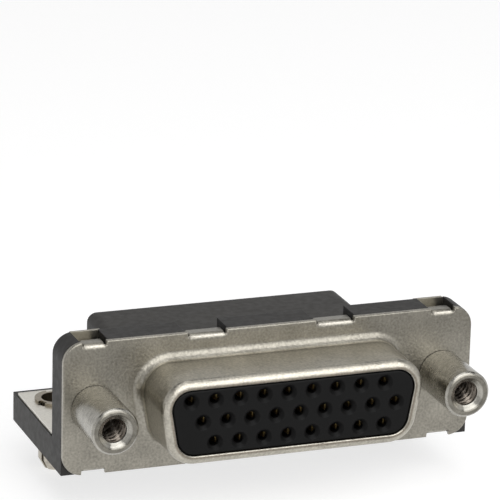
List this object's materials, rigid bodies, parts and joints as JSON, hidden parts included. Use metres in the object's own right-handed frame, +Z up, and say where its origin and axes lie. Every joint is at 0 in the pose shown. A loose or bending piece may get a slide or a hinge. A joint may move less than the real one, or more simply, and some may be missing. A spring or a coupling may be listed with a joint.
{
  "type": "d-sub connector",
  "caption": "Right-angle high-density D-shaped socket for a circuit board, with metal front shell, threaded standoffs, angle brackets, board locks and solder tails.",
  "frame": {"origin": "middle of the connector, at the foot of the front flange, in the plane of the board and of the flange's front face", "axes": "+X to the right as seen from the mating side, +Y from the mating side to the rear, +Z up off the board"},
  "size_m": [0.0392, 0.0215, 0.0162],
  "materials": {
    "shell_nickel": "satin",
    "insert_plastic": "satin",
    "housing_plastic": "satin",
    "spacer_plastic": "satin",
    "bracket_tin": "satin",
    "lock_tin": "satin",
    "standoff_nickel": "polished",
    "contact_gold": "satin"
  },
  "bodies": {
    "root": {"front_shell": "shell_nickel", "socket_insert": "insert_plastic", "housing": "housing_plastic", "pin_spacer": "spacer_plastic", "left_bracket": "bracket_tin", "right_bracket": "bracket_tin", "left_board_lock": "lock_tin", "right_board_lock": "lock_tin", "left_standoff": "standoff_nickel", "right_standoff": "standoff_nickel", "top_contact_1": "contact_gold", "top_contact_2": "contact_gold", "top_contact_3": "contact_gold", "top_contact_4": "contact_gold", "top_contact_5": "contact_gold", "top_contact_6": "contact_gold", "top_contact_7": "contact_gold", "top_contact_8": "contact_gold", "top_contact_9": "contact_gold", "middle_contact_1": "contact_gold", "middle_contact_2": "contact_gold", "middle_contact_3": "contact_gold", "middle_contact_4": "contact_gold", "middle_contact_5": "contact_gold", "middle_contact_6": "contact_gold", "middle_contact_7": "contact_gold", "middle_contact_8": "contact_gold", "middle_contact_9": "contact_gold", "bottom_contact_1": "contact_gold", "bottom_contact_2": "contact_gold", "bottom_contact_3": "contact_gold", "bottom_contact_4": "contact_gold", "bottom_contact_5": "contact_gold", "bottom_contact_6": "contact_gold", "bottom_contact_7": "contact_gold", "bottom_contact_8": "contact_gold"}
  },
  "joints": []
}
